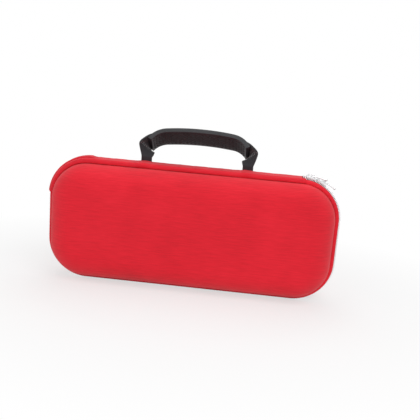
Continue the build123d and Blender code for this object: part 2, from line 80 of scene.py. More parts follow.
# %% Shader helper
class Value:
    """A number that varies over the surface: an output socket, with operators that add Math nodes."""

    def __init__(self, tree, socket):
        self.tree = tree
        self.socket = socket

    def maths(self, operation, *others, clamp=False):
        node = self.tree.nodes.new("ShaderNodeMath")
        node.operation = operation
        node.use_clamp = clamp
        for index, item in enumerate((self, *others)):
            if isinstance(item, Value):
                self.tree.links.new(item.socket, node.inputs[index])
            else:
                node.inputs[index].default_value = item
        return Value(self.tree, node.outputs[0])

    def __add__(self, other):
        return self.maths("ADD", other)

    def __sub__(self, other):
        return self.maths("SUBTRACT", other)

    def __rsub__(self, other):
        return self.maths("MULTIPLY", -1.0).maths("ADD", other)

    def __mul__(self, other):
        return self.maths("MULTIPLY", other)

    __radd__ = __add__
    __rmul__ = __mul__


class Material:
    """A material with one Principled shader, and one method that adds any other node."""

    def __init__(self, name, roughness, **constants):
        self.material = bpy.data.materials.new(name)
        self.material.use_nodes = True
        self.tree = self.material.node_tree
        self.shader = self.tree.nodes["Principled BSDF"]
        self.shader.inputs["Roughness"].default_value = roughness
        for socket, value in constants.items():
            self.shader.inputs[socket.replace("_", " ")].default_value = value

    def node(self, kind, settings=None, output=0, **inputs):
        made = self.tree.nodes.new(f"ShaderNode{kind}")
        for key, value in (settings or {}).items():
            if key == "stops":
                ramp = made.color_ramp
                while len(ramp.elements) < len(value):
                    ramp.elements.new(0.5)
                for element, (place, colour) in zip(ramp.elements, value):
                    element.position = place
                    element.color = (*colour, 1)
            else:
                setattr(made, key, value)
        for key, value in inputs.items():
            socket = made.inputs[int(key[1:])] if key[0] == "i" and key[1:].isdigit() else made.inputs[key]
            if isinstance(value, Value):
                self.tree.links.new(value.socket, socket)
            else:
                socket.default_value = value
        return Value(self.tree, made.outputs[output])

    def place(self, scale=(1, 1, 1), turn=(0, 0, 0)):
        """Object coordinates, turned and scaled."""
        where = self.node("TexCoord", output="Object")
        return self.node("Mapping", Vector=where, Scale=scale, Rotation=turn)

    def noise(self, where, scale, detail=2.0, roughness=0.5):
        return self.node("TexNoise", Vector=where, Scale=scale, Detail=detail, Roughness=roughness)

    def wave(self, where, scale, axis="X", distortion=0.0):
        return self.node(
            "TexWave", {"bands_direction": axis}, output=1, Vector=where, Scale=scale, Distortion=distortion
        )

    def colour(self, factor, stops):
        ramp = self.node("ValToRGB", {"stops": stops}, Fac=factor)
        self.feed("Base Color", ramp)
        return ramp

    def feed(self, socket, value):
        self.tree.links.new(value.socket, self.shader.inputs[socket])

    def bump(self, height, distance, strength=1.0):
        self.feed("Normal", self.node("Bump", Height=height, Distance=distance, Strength=strength))


print("shader helper ready")

# %% [markdown]
# ## Red cover fabric
# The halves are covered in a fine woven polyester. Light falls off softly over it and it never shines. Close up,
# ribs run along the case, a diagonal twill crosses them, and single yarns are a little lighter or darker. We build
# that from two wave patterns and stretched noise in Object coordinates, so it doesn't slide from piece to piece.


# %% Red fabric
def woven_red(name, light, middle, dark, rib_strength):
    cloth = Material(name, 0.8, Sheen_Weight=0.12, Sheen_Roughness=0.5, Specular_IOR_Level=0.25)
    here = cloth.place()
    diagonal = cloth.place(turn=(0, math.radians(38), 0))
    ribs = cloth.wave(here, 260.0, "Z", 0.6)
    twill = cloth.wave(diagonal, 300.0, "X", 0.8)
    yarns = cloth.noise(cloth.place(scale=(60, 60, 900)), 1.0, 3.0)
    patches = cloth.noise(here, 22.0, 3.0)
    weave = ribs * rib_strength + twill * 0.3 + yarns * 0.7
    cloth.colour(yarns * 0.55 + patches * 0.45, ((0.3, dark), (0.5, middle), (0.7, light)))
    cloth.feed("Roughness", 0.74 + yarns * 0.14)
    cloth.bump(weave, 0.00022, 0.75)
    return cloth.material


RED_LIGHT, RED_MIDDLE, RED_DARK = (0.83, 0.016, 0.034), (0.74, 0.011, 0.026), (0.62, 0.008, 0.020)
red_fabric = woven_red("red_woven_polyester", RED_LIGHT, RED_MIDDLE, RED_DARK, 0.5)
red_band = woven_red("red_hinge_polyester", (0.80, 0.015, 0.032), (0.70, 0.010, 0.025), (0.57, 0.007, 0.019), 0.8)
print("materials", red_fabric.name, red_band.name)

# %% [markdown]
# ## Black cloth, rubber and bright metal
# Tape, webbing, elastic and lining are all black textiles, but each has its own weave. One function makes them
# from the pitch and direction of their ribs. The grip is moulded rubber, a little lighter where hands polish it.
# The zip is nickel: teeth are brushed by use, and sliders are polished wire.


# %% Dark textiles, rubber and metal
def ribbed_cloth(name, tone, pitch, axis, depth, roughness=0.85, cross=None):
    cloth = Material(name, roughness, Sheen_Weight=0.15, Specular_IOR_Level=0.3)
    here = cloth.place()
    across = cloth.wave(here, 0.32 / pitch, axis, 0.3)
    yarns = cloth.noise(here, 900.0, 2.0)
    height = across * 0.8 + yarns * 0.3
    if cross:
        height = height + cloth.wave(here, 0.32 / pitch * 1.6, cross, 0.3) * 0.5
    pale = tuple(c * 1.9 + 0.004 for c in tone)
    cloth.colour(across * 0.5 + yarns * 0.5, ((0.25, tone), (0.8, pale)))
    cloth.bump(height, depth, 0.8)
    return cloth.material


def metal(name, tone, roughness, scratch):
    bright = Material(name, roughness, Metallic=1.0)
    here = bright.place()
    grain = bright.noise(bright.place(scale=(1, 4, 1)), 700.0, 3.0)
    bright.colour(grain, ((0.3, tuple(c * 0.86 for c in tone)), (0.7, tone)))
    bright.feed("Roughness", roughness + bright.noise(here, 350.0) * 0.12)
    bright.bump(grain, 0.00002, scratch)
    return bright.material


tape_cloth = ribbed_cloth("zip_tape_herringbone", (0.030, 0.016, 0.020), 0.5 * MM, "Y", 0.00010)
binding_cloth = ribbed_cloth("binding_rib", (0.014, 0.013, 0.015), 0.8 * MM, "X", 0.00012)
webbing_cloth = ribbed_cloth("webbing_weave", (0.012, 0.011, 0.013), 1.0 * MM, "DIAGONAL", 0.0002, 0.7, "Y")
elastic_cloth = ribbed_cloth("elastic_rib", (0.020, 0.019, 0.022), 0.9 * MM, "X", 0.00015)
lining_cloth = ribbed_cloth("lining_velour", (0.028, 0.027, 0.031), 0.35 * MM, "Z", 0.00008, 0.95)
net_cord = ribbed_cloth("net_cord", (0.030, 0.029, 0.032), 0.4 * MM, "Z", 0.00006)
zip_metal = metal("zip_teeth_nickel", (0.93, 0.91, 0.92), 0.35, 0.5)
slider_metal = metal("polished_nickel", (0.74, 0.73, 0.74), 0.16, 0.2)

rubber = Material("moulded_rubber", 0.46, Specular_IOR_Level=0.45)
rubber_here = rubber.place()
pebbles = rubber.noise(rubber_here, 1100.0, 2.0)
rubbed = rubber.noise(rubber_here, 60.0, 3.0)
rubber.colour(rubbed, ((0.3, (0.009, 0.009, 0.011)), (0.75, (0.020, 0.019, 0.022))))
rubber.feed("Roughness", 0.40 + rubbed * 0.2)
rubber.bump(pebbles, 0.00006, 0.6)

thread = Material("pale_thread", 0.7, Sheen_Weight=0.2)
twist = thread.wave(thread.place(), 900.0, "DIAGONAL")
thread.colour(twist, ((0.2, (0.30, 0.29, 0.30)), (0.8, (0.55, 0.54, 0.55))))
thread.bump(twist, 0.00006, 0.6)
print("dark and bright materials ready")

# %% [markdown]
# ## Helpers for modelling
# Each piece starts from a primitive, is shaped in edit mode, and ends with its object at the origin. Everything is
# deselected first, because the frame's own nodes come in selected and an operator acts on all that is selected.


# %% Modelling helpers
def start():
    if bpy.context.mode != "OBJECT":
        bpy.ops.object.mode_set(mode="OBJECT")
    bpy.ops.object.select_all(action="DESELECT")


def named(name):
    made = bpy.context.object
    made.name = name
    made.data.name = name
    bpy.ops.object.transform_apply(location=True, rotation=True, scale=True)
    return made


def only(piece):
    start()
    piece.select_set(True)
    bpy.context.view_layer.objects.active = piece


def edit(piece, mode="FACE"):
    only(piece)
    bpy.ops.object.mode_set(mode="EDIT")
    bpy.ops.mesh.select_mode(type=mode)
    bpy.ops.mesh.select_all(action="DESELECT")


def done():
    bpy.ops.object.mode_set(mode="OBJECT")


def pick(piece, kind, test):
    """Selects the vertices, edges or faces whose middle passes a test, and says how many there are."""
    bpy.ops.object.mode_set(mode="OBJECT")
    mesh = piece.data
    for group in (mesh.vertices, mesh.edges, mesh.polygons):
        group.foreach_set("select", [False] * len(group))
    found = 0
    if kind == "FACE":
        items = [(p, p.center, p.normal) for p in mesh.polygons]
    elif kind == "VERT":
        items = [(v, v.co, v.normal) for v in mesh.vertices]
    else:
        items = [
            (e, (mesh.vertices[e.vertices[0]].co + mesh.vertices[e.vertices[1]].co) / 2,
             (mesh.vertices[e.vertices[0]].co - mesh.vertices[e.vertices[1]].co))
            for e in mesh.edges
        ]
    for item, middle, normal in items:
        if test(middle, normal):
            item.select = True
            found += 1
    bpy.ops.object.mode_set(mode="EDIT")
    bpy.ops.mesh.select_mode(type=kind)
    return found


def modifier(piece, kind, **settings):
    only(piece)
    made = piece.modifiers.new(kind.lower(), kind)
    for key, value in settings.items():
        setattr(made, key, value)
    bpy.ops.object.modifier_apply(modifier=made.name)


def smooth(piece, angle=35):
    only(piece)
    bpy.ops.object.shade_smooth_by_angle(angle=math.radians(angle))


def outward(piece, merge=0.00001):
    """Merges doubles and turns every face outwards."""
    edit(piece)
    bpy.ops.mesh.select_all(action="SELECT")
    bpy.ops.mesh.remove_doubles(threshold=merge)
    bpy.ops.mesh.normals_make_consistent(inside=False)
    done()


def join(pieces, name):
    start()
    for piece in pieces:
        piece.select_set(True)
    bpy.context.view_layer.objects.active = pieces[0]
    bpy.ops.object.join()
    pieces[0].name = name
    return pieces[0]


def copy_of(piece):
    made = piece.copy()
    made.data = piece.data.copy()
    bpy.context.scene.collection.objects.link(made)
    return made


def dress(piece, material, body, slot, *nodes):
    """Gives a finished piece its material, its body and the nodes that it stands for. Its slot is not used."""
    piece.data.materials.clear()
    piece.data.materials.append(material)
    if body:
        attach(piece, body)
    if nodes:
        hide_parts(*nodes)
    print(piece.name, len(piece.data.polygons), "faces")


# %% [markdown]
# ## The moulded halves
# A half is a tray. We start from a flat face with the case's rounded outline and raise it step by step: each step
# is an inset of a given width, moved out by a given depth. That follows the round bead, dips into the groove and
# climbs over the rounded edge to the crowned face. A second, smaller tray makes the inside, and the two are
# bridged at the mouth. Bisecting the half into a grid afterwards gives the broad face enough vertices to be crowned.


# %% Trays
CORNER_STEPS = 18


def flat_outline(name, side, inset, depth):
    """One face with the rounded outline, its normal pointing out of the half."""
    start()
    bpy.ops.mesh.primitive_plane_add(
        size=1, location=(0, side * depth, MIDDLE), rotation=(-side * math.pi / 2, 0, 0)
    )
    face = bpy.context.object
    face.scale = (LENGTH - 2 * inset, HEIGHT - 2 * inset, 1)
    face = named(name)
    edit(face, "VERT")
    bpy.ops.mesh.select_all(action="SELECT")
    bpy.ops.mesh.bevel(offset=CORNER - inset, affect="VERTICES", segments=CORNER_STEPS, profile=0.5)
    done()
    return face


def tray(name, side, steps):
    """A tray whose wall follows steps of (inset, depth). It's open at the first step."""
    inset, depth = steps[0]
    face = flat_outline(name, side, inset, depth)
    edit(face)
    bpy.ops.mesh.select_all(action="SELECT")
    for next_inset, next_depth in steps[1:]:
        bpy.ops.mesh.inset(thickness=max(next_inset - inset, 0.000004), depth=next_depth - depth)
        inset, depth = next_inset, next_depth
    done()
    return face


def arc_steps(centre, radius, start_angle, end_angle, count):
    """Steps of (inset, depth) round an arc. Angle 0 points to a smaller inset, 90 points outwards."""
    found = []
    for number in range(count + 1):
        angle = math.radians(start_angle + (end_angle - start_angle) * number / count)
        found.append((centre[0] - radius[0] * math.cos(angle), centre[1] + radius[1] * math.sin(angle)))
    return found


CROWN = 1.1 * MM
FACE_EDGE = FACE - CROWN
bead = arc_steps((RIM_INSET + RIM_ROUND, RIM_FACE - RIM_ROUND), (RIM_ROUND, RIM_ROUND), 0, 104, 8)
groove = [(PANEL_INSET + 0.30 * MM, RIM_FACE - 0.75 * MM), (PANEL_INSET + 0.50 * MM, RIM_FACE - 0.8 * MM),
          (PANEL_INSET + 0.62 * MM, RIM_FACE + 0.3 * MM)]
shoulder = arc_steps((PANEL_INSET + PANEL_ROUND, FACE - PANEL_ROUND),
                     (PANEL_ROUND - 0.5 * MM, PANEL_ROUND - CROWN), 3, 90, 14)
outer_steps = [(RIM_INSET, RIM_START)] + bead + groove + shoulder
inner_round = PANEL_ROUND - WALL
inner_steps = [(PANEL_INSET + WALL, RIM_START)] + arc_steps(
    (PANEL_INSET + PANEL_ROUND, FACE - PANEL_ROUND), (inner_round, inner_round), 0, 90, 8
)


def grid_cut(piece, xs, zs):
    """Bisects a piece along planes at several x and z."""
    edit(piece)
    for places, normal in ((xs, (1, 0, 0)), (zs, (0, 0, 1))):
        for place in places:
            bpy.ops.mesh.select_all(action="SELECT")
            co = (place, 0, 0) if normal[0] else (0, 0, place)
            bpy.ops.mesh.bisect(plane_co=co, plane_no=normal)
    done()


def crown(piece, side, height):
    """Raises the broad face into a shallow dome, most in its middle."""
    half_x, half_z = LENGTH / 2 - PANEL_INSET, HEIGHT / 2 - PANEL_INSET
    for vertex in piece.data.vertices:
        if side * vertex.co.y > FACE_EDGE - 9 * MM:
            u = min(1.0, abs(vertex.co.x) / half_x)
            w = min(1.0, abs(vertex.co.z - MIDDLE) / half_z)
            share = (1 - u ** 4) * (1 - w ** 3)
            vertex.co.y += side * height * share


grid_x = [n * 11.5 * MM for n in range(-12, 13)]
grid_z = [MIDDLE + n * 8.0 * MM for n in range(-7, 8)]
panels = {}
for side, half in HALVES.items():
    outer = tray(f"{half}_fabric_shell", side, outer_steps)
    inner = tray(f"{half}_inner_tray", side, inner_steps)
    shell = join([outer, inner], f"{half}_fabric_shell")
    edit(shell, "EDGE")
    pick(shell, "EDGE", lambda middle, along: abs(abs(middle.y) - RIM_START) < 0.00002)
    bpy.ops.mesh.bridge_edge_loops()
    done()
    outward(shell)
    grid_cut(shell, grid_x, grid_z)
    crown(shell, side, CROWN)
    smooth(shell, 50)
    dress(shell, red_fabric, BODY[side], "red_fabric", f"{half}_cover", f"{half}_shell")
    panels[side] = shell

# %% [markdown]
# ## Bending flat pieces onto a path
# Zip teeth, tape, webbing and the grip are all easier to model flat, along a straight line, and then to bend. A
# path answers one question: at this distance along it, where is the line, and which way is out? Each vertex of a
# flat piece gives the distance (x), the sideways place (y) and the height above the line (z).


# %% Paths
def zip_path(inset):
    """The zip's line: down the right side, along the bottom and up the left side."""
    radius = CORNER - inset
    top_z, right_x = HEIGHT - inset, LENGTH / 2 - inset
    quarter = math.pi / 2 * radius
    down, along = ARC_Z - CORNER, 2 * ARC_X

    def corner(centre, first, travelled):
        angle = first - travelled / radius
        out = Vector((math.cos(angle), 0, math.sin(angle)))
        return Vector((centre[0], 0, centre[1])) + out * radius, out

    def where(s):
        if s < quarter:
            return corner((ARC_X, ARC_Z), math.pi / 2, s)
        s -= quarter
        if s < down:
            return Vector((right_x, 0, ARC_Z - s)), Vector((1, 0, 0))
        s -= down
        if s < quarter:
            return corner((ARC_X, CORNER), 0, s)
        s -= quarter
        if s < along:
            return Vector((ARC_X - s, 0, inset)), Vector((0, 0, -1))
        s -= along
        if s < quarter:
            return corner((-ARC_X, CORNER), -math.pi / 2, s)
        s -= quarter
        if s < down:
            return Vector((-right_x, 0, CORNER + s)), Vector((-1, 0, 0))
        s -= down
        return corner((-ARC_X, ARC_Z), math.pi, s)

    return where, 4 * quarter + 2 * down + along


def bend(piece, where):
    """Bends a flat piece onto a path: x along it, y across it, z above it."""
    for vertex in piece.data.vertices:
        point, out = where(vertex.co.x)
        vertex.co = point + out * vertex.co.z + Vector((0, vertex.co.y, 0))


CORNER_RUN = math.pi / 2 * CORNER
zip_line, ZIP_RUN = zip_path(0)
print("zip run", round(ZIP_RUN, 4), "of it on each corner", round(CORNER_RUN, 4))

# %% [markdown]
# ## Zip teeth
# Each tooth is a small block that grips the edge of the tape, with a rounded head that reaches past the middle so
# that the two rows mesh. One tooth is modelled from a cube, repeated by an Array modifier and bent onto the zip's
# line. The rear row is half a pitch behind the front row. On the sliders' corner both rows belong to the rear half,
# because the sliders keep that stretch closed.

# %% Zip teeth
PITCH = 1.5 * MM


def tooth_row(name, side, first, last):
    """A row of meshing teeth between two distances along the zip."""
    start()
    bpy.ops.mesh.primitive_cube_add(size=1, location=(0, 1.85 * MM, -1.15 * MM))
    tooth = bpy.context.object
    tooth.scale = (0.82 * MM, 3.1 * MM, 1.9 * MM)
    tooth = named(name)
    edit(tooth)
    pick(tooth, "FACE", lambda middle, normal: normal.y < -0.9)
    bpy.ops.mesh.extrude_region_move(TRANSFORM_OT_translate={"value": (0, -0.5 * MM, 0)})
    bpy.ops.transform.resize(value=(1.22, 1, 0.72))
    pick(tooth, "FACE", lambda middle, normal: normal.z > 0.9)
    bpy.ops.mesh.inset(thickness=0.14 * MM, depth=0.18 * MM)
    done()
    for vertex in tooth.data.vertices:
        vertex.co.y *= side
    outward(tooth)
    offset = 0 if side == FRONT else PITCH / 2
    count = int((last - first - offset) / PITCH)
    for vertex in tooth.data.vertices:
        vertex.co.x += first + offset + PITCH / 2
    modifier(tooth, "ARRAY", count=count, use_relative_offset=False, use_constant_offset=True,
             constant_offset_displace=(PITCH, 0, 0))
    bend(tooth, zip_line)
    smooth(tooth, 40)
    return tooth


TOP_GAP, CORNER_END = 1.9 * MM, CORNER_RUN + 0.3 * MM
LEFT_COVER = math.radians(85)  # the hinge cloth carries on this far down the left corner
LEFT_END = ZIP_RUN - LEFT_COVER * CORNER - TOP_GAP
front_teeth = tooth_row("front_zip_teeth", FRONT, CORNER_END, LEFT_END)
dress(front_teeth, zip_metal, "front_half", "zip_teeth", "front_zip_coil")
corner_teeth = tooth_row("corner_zip_teeth", FRONT, TOP_GAP, CORNER_END - 0.2 * MM)
dress(corner_teeth, zip_metal, "rear_half", "zip_teeth", "corner_zip_coil")
rear_teeth = tooth_row("rear_zip_teeth", REAR, TOP_GAP, LEFT_END)
dress(rear_teeth, zip_metal, "rear_half", "zip_teeth", "rear_zip_coil")

# %% [markdown]
# ## Zip tape
# The tape runs from under the teeth to the seam at the rim, and folds down against the inside of the seam. It's
# nearly black, and from outside only a thin dark line of it shows beside the bright teeth.


# %% Zip tape
def strip(name, first, last, across, height, thickness, step=2.5 * MM):
    """A flat strip along the path, between two places across it, with its top at a height."""
    start()
    low, high = sorted(across)
    count = max(2, int((last - first) / step))
    bpy.ops.mesh.primitive_grid_add(
        x_subdivisions=count, y_subdivisions=3, size=1,
        location=((first + last) / 2, (low + high) / 2, height),
    )
    made = bpy.context.object
    made.scale = (last - first, high - low, 1)
    made = named(name)
    modifier(made, "SOLIDIFY", thickness=thickness, offset=-1)
    return made


def tape(name, side, first, last, flange):
    run = strip(name, first, last, (side * 1.0 * MM, side * 4.2 * MM), -2.2 * MM, 0.7 * MM)
    bend(run, zip_line)
    if not flange:
        smooth(run)
        return run
    fold = strip(f"{name}_fold", first, last, (side * 4.2 * MM, side * 4.8 * MM), -2.2 * MM, 7.4 * MM)
    bend(fold, zip_line)
    both = join([run, fold], name)
    smooth(both)
    return both


TAPE_START = 0.2 * MM
front_tape = tape("front_zip_tape_cloth", FRONT, CORNER_END, ZIP_RUN - TAPE_START, True)
front_fold = strip("front_fold", TAPE_START, CORNER_END, (-4.2 * MM, -4.8 * MM), -2.2 * MM, 7.4 * MM)
bend(front_fold, zip_line)
front_tape = join([front_tape, front_fold], "front_zip_tape_cloth")
dress(front_tape, tape_cloth, "front_half", "zip_tape", "front_zip_tape")
corner_tape = strip("corner_zip_tape_cloth", TAPE_START, CORNER_END - 0.4 * MM, (-1.0 * MM, -3.9 * MM),
                    -2.2 * MM, 0.7 * MM)
bend(corner_tape, zip_line)
smooth(corner_tape)
dress(corner_tape, tape_cloth, "rear_half", "zip_tape", "corner_zip_tape")
rear_tape = tape("rear_zip_tape_cloth", REAR, TAPE_START, ZIP_RUN - TAPE_START, True)
dress(rear_tape, tape_cloth, "rear_half", "zip_tape", "rear_zip_tape")

# %% [markdown]
# ## The cloth hinge
# One strip of the same red cloth wraps both rims along the top and is sewn down in both grooves. When the case
# opens, it folds along each rim. So it's made in two pieces that meet in the middle. Its cross-section is drawn
# once as a row of points and extruded along the top.


# %% Hinge cloth
def section_strip(name, points, half_length, thickness, steps=52):
    """Extrudes an open row of (y, z) points along x and gives it a thickness."""
    start()
    bpy.ops.mesh.primitive_plane_add(size=1)
    made = named(name)
    mesh = made.data
    mesh.clear_geometry()
    mesh.from_pydata([(-half_length, y, z) for y, z in points], [(i, i + 1) for i in range(len(points) - 1)], [])
    edit(made, "EDGE")
    bpy.ops.mesh.select_all(action="SELECT")
    for _ in range(steps):
        bpy.ops.mesh.extrude_region_move(TRANSFORM_OT_translate={"value": (2 * half_length / steps, 0, 0)})
    bpy.ops.mesh.select_all(action="SELECT")
    bpy.ops.mesh.normals_make_consistent(inside=False)
    done()
    if sum(p.normal.z for p in mesh.polygons) < 0:
        edit(made)
        bpy.ops.mesh.select_all(action="SELECT")
        bpy.ops.mesh.flip_normals()
        done()
    modifier(made, "SOLIDIFY", thickness=thickness, offset=-1)
    return made


BAND = 0.9 * MM
BAND_ROUND = RIM_ROUND + BAND


BULGE_X, BULGE_WIDTH = 50.5 * MM, 5.5 * MM  # the sewn webbing lifts the cloth here
RIGHT_OVERLAP = 3.0 * MM
RIDGE = 1.5 * MM


def ridge(y):
    """Height of the low ridge where the cloth runs over the end of the zip."""
    return RIDGE * min(1.0, max(0.0, (4.9 * MM - abs(y)) / MM))


def cloth_section(side, first):
    """The cloth's section: from near the middle, over the rim and down into the groove."""
    points = [(side * first, FOLD_Z)]
    points += [(side * y * MM, FOLD_Z) for y in (1.5, 3.2, 3.9, 4.4, 4.9, 5.4, 5.8)]
    centre_y, centre_z = RIM_FACE - RIM_ROUND, FOLD_Z - BAND_ROUND
    for number in range(1, 10):
        angle = math.radians(90 - 10 * number)
        points.append((side * (centre_y + BAND_ROUND * math.cos(angle)), centre_z + BAND_ROUND * math.sin(angle)))
    points.append((side * (RIM_FACE + 0.55 * MM), HEIGHT - PANEL_INSET + 0.1 * MM))
    return points


def hinge_cloth(side):
    cloth = section_strip(f"{HALVES[side]}_hinge_cloth", cloth_section(side, 0.0), ARC_X, BAND)
    for vertex in cloth.data.vertices:
        x, over_rim = vertex.co.x, abs(vertex.co.y) > 4.8 * MM
        bulge = math.exp(-(((abs(x) - BULGE_X) / BULGE_WIDTH) ** 2))
        ripple = 0.10 * math.sin(x * 310) + 0.07 * math.sin(x * 780 + 1)
        vertex.co.z += 0.8 * (bulge + ripple) * MM * (1 if over_rim else 0.3)
        vertex.co.z += ridge(vertex.co.y) * min(1.0, max(0.0, (-x - 97 * MM) / (7 * MM)))
        if over_rim and x > 0:
            vertex.co.x += RIGHT_OVERLAP * (x / ARC_X) ** 8
    smooth(cloth, 60)
    return cloth


def corner_cloth(side):
    """The same section, bent round the left corner down to the first tooth."""
    half = LEFT_COVER * CORNER / 2
    cloth = section_strip(f"{HALVES[side]}_corner_cloth", cloth_section(side, 0.15 * MM), half, BAND, 34)
    for vertex in cloth.data.vertices:
        angle, radius = (half - vertex.co.x) / CORNER, vertex.co.z + ridge(vertex.co.y) - ARC_Z
        vertex.co.x = -ARC_X - radius * math.sin(angle)
        vertex.co.z = ARC_Z + radius * math.cos(angle)
    smooth(cloth, 60)
    return cloth


for side in (REAR, FRONT):
    dress(corner_cloth(side), red_band, BODY[side], "red_fabric")


for side in (REAR, FRONT):
    cloth = hinge_cloth(side)
    nodes = [f"{HALVES[side]}_hinge_band"] + (["hinge_strip"] if side == REAR else [])
    dress(cloth, red_band, None, "red_fabric", *nodes)
    side * 6.0 * MM
    side * 3.6 * MM
    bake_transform(cloth)

# %% [markdown]
# Inside, a black tape covers the same fold. It's sewn to the seam of each half.

# %% Hinge lining
for side in (REAR, FRONT):
    inner_z = FOLD_Z - BAND - 0.05 * MM
    points = [(0.0, inner_z), (side * 2.0 * MM, inner_z), (side * 3.4 * MM, inner_z), (side * 4.1 * MM, inner_z - 0.3 * MM),
              (side * 4.5 * MM, inner_z - 1.0 * MM), (side * 4.55 * MM, inner_z - 3.5 * MM),
              (side * 4.55 * MM, 115.5 * MM)]
    name = f"{HALVES[side]}_hinge_lining"
    lining = section_strip(name, points, ARC_X, 0.6 * MM, 40)
    smooth(lining, 60)
    nodes = [f"{HALVES[side]}_hinge_tape"] + (["hinge_facing"] if side == REAR else [])
    dress(lining, binding_cloth, None, "binding", *nodes)
    side * 5.2 * MM
    side * 3.6 * MM
    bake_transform(lining)

# %% [markdown]
# ## Lining and binding
# Inside, each half is lined with a short-piled velour, moulded together with the foam. A ribbed tape is folded
# round the seam at the mouth.

# %% Lining and binding
LINING = 0.8 * MM
lining_steps = [(step[0] + 0.02 * MM, step[1]) for step in inner_steps]
for side, half in HALVES.items():
    velour = tray(f"{half}_velour_lining", side, lining_steps)
    grid_cut(velour, grid_x[::2], grid_z[::2])
    modifier(velour, "SOLIDIFY", thickness=LINING, offset=-1)
    smooth(velour, 50)
    dress(velour, lining_cloth, BODY[side], "lining", f"{half}_lining")
    near, mouth = 3.6 * MM, PANEL_INSET + WALL + LINING
    edge = tray(f"{half}_seam_binding", side, [(mouth, near), (mouth, near + 6.0 * MM)])
    edit(edge)
    pick(edge, "FACE", lambda middle, normal: len(edge.data.polygons) > 0 and abs(normal.y) > 0.9)
    bpy.ops.mesh.delete(type="ONLY_FACE")
    done()
    lip = tray(f"{half}_binding_lip", side, [(mouth - 1.7 * MM, near), (mouth, near + 0.01 * MM)])
    edit(lip)
    pick(lip, "FACE", lambda middle, normal: abs(middle.x) < 1 * MM and abs(middle.z - MIDDLE) < 1 * MM)
    bpy.ops.mesh.delete(type="ONLY_FACE")
    done()
    binding = join([edge, lip], f"{half}_seam_binding")
    outward(binding)
    modifier(binding, "SOLIDIFY", thickness=0.8 * MM, offset=0)
    smooth(binding, 50)
    dress(binding, binding_cloth, BODY[side], "binding", f"{half}_binding")

# %% [markdown]
# ## Sliders and pulls
# The sliders are small castings with a bent wire loop, and a wire pull hangs from each loop. A wire is a circle
# swept along a smooth curve, so a curve with a round bevel makes it, and it's turned into a mesh at the end.


# %% Wire helper
def wire(name, points, radius, closed=False, sides=3):
    start()
    bpy.ops.curve.primitive_nurbs_path_add()
    line = bpy.context.object
    line.name = name
    line.data.splines.clear()
    spline = line.data.splines.new("NURBS")
    spline.points.add(len(points) - 1)
    for point, place in zip(spline.points, points):
        point.co = (*place, 1)
    spline.use_cyclic_u = closed
    spline.order_u = 3
    spline.use_endpoint_u = not closed
    line.data.resolution_u = 6
    line.data.bevel_depth = radius
    line.data.bevel_resolution = sides
    line.data.use_fill_caps = not closed
    only(line)
    bpy.ops.object.convert(target="MESH")
    made = bpy.context.object
    made.name = name
    outward(made)
    smooth(made, 50)
    return made


def slider_frame(start_degrees):
    """Axes of a slider in the middle of its length: centre on the teeth, along the zip, outwards."""
    middle = math.radians(start_degrees) + 5 * MM / CORNER
    out = Vector((math.sin(middle), 0, math.cos(middle)))
    along = Vector((math.cos(middle), 0, -math.sin(middle)))
    return Vector((ARC_X, 0, ARC_Z)) + out * CORNER, along, out


def corner_bend(piece, start_degrees):
    """Bends a flat piece, centred on x = 0, onto the sliders' corner."""
    shift = math.radians(start_degrees) * CORNER + 5 * MM
    for vertex in piece.data.vertices:
        vertex.co.x += shift
    bend(piece, zip_line)


# %% [markdown]
# The slider's top plate is shaped like a small shield: wide shoulders where the open teeth enter, a narrower waist,
# and flanges along both sides that hold the teeth in.


# %% Sliders
def slider(name, start_degrees):
    start()
    bpy.ops.mesh.primitive_grid_add(x_subdivisions=12, y_subdivisions=6, size=1, location=(0, 0, 1.25 * MM))
    plate = bpy.context.object
    plate.scale = (10 * MM, 8.8 * MM, 1)
    plate = named(f"{name}_slider_cast")
    for vertex in plate.data.vertices:
        t = vertex.co.x / (5 * MM)
        waist = 1.0 - 0.16 * (1 - t * t) - 0.22 * max(0.0, abs(t) - 0.62) ** 1.4
        vertex.co.y *= waist
        vertex.co.x *= 1 - 0.10 * (abs(vertex.co.y) / (4.4 * MM)) ** 2
    edit(plate, "EDGE")
    pick(plate, "EDGE", lambda middle, along: abs(middle.y) > 3.0 * MM * 0.9 and abs(along.x) > abs(along.y) * 2
         and abs(abs(middle.y) - max(abs(v.co.y) for v in plate.data.vertices
                                     if abs(v.co.x - middle.x) < 0.9 * MM)) < 0.35 * MM)
    bpy.ops.mesh.extrude_region_move(TRANSFORM_OT_translate={"value": (0, 0, -2.1 * MM)})
    done()
    modifier(plate, "SOLIDIFY", thickness=0.9 * MM, offset=-1)
    modifier(plate, "BEVEL", width=0.22 * MM, segments=2, limit_method="ANGLE", angle_limit=math.radians(40))
    corner_bend(plate, start_degrees)
    smooth(plate, 40)
    return plate


for name, degrees_down in (("upper", 4.5), ("lower", 19.5)):
    body = f"{name}_slider"
    plate = slider(name, degrees_down)
    dress(plate, slider_metal, body, "nickel", f"{name}_slider_body")
    centre, along, out = slider_frame(degrees_down)
    base = 1.15 * MM
    loop_points = [(-3.5, -0.2), (-3.5, 1.1), (-3.2, 2.2), (-1.6, 2.55), (1.6, 2.55), (3.2, 2.2), (3.5, 1.1), (3.5, -0.2)]
    for y in (-0.38, 0.38):
        points = [centre + along * a * MM + out * (base + h * MM) + Vector((0, y * MM, 0)) for a, h in loop_points]
        loop = wire(f"{name}_bridge_{'a' if y < 0 else 'b'}", points, 0.42 * MM)
        if y < 0:
            first = loop
    bridge = join([first, loop], f"{name}_slider_loop")
    dress(bridge, slider_metal, body, "nickel", f"{name}_slider_bridge")

# %% [markdown]
# The pull is one bent wire. Both ends of its yoke are joined by a pin under the slider's loop, and its long leg
# ends in a small drop.


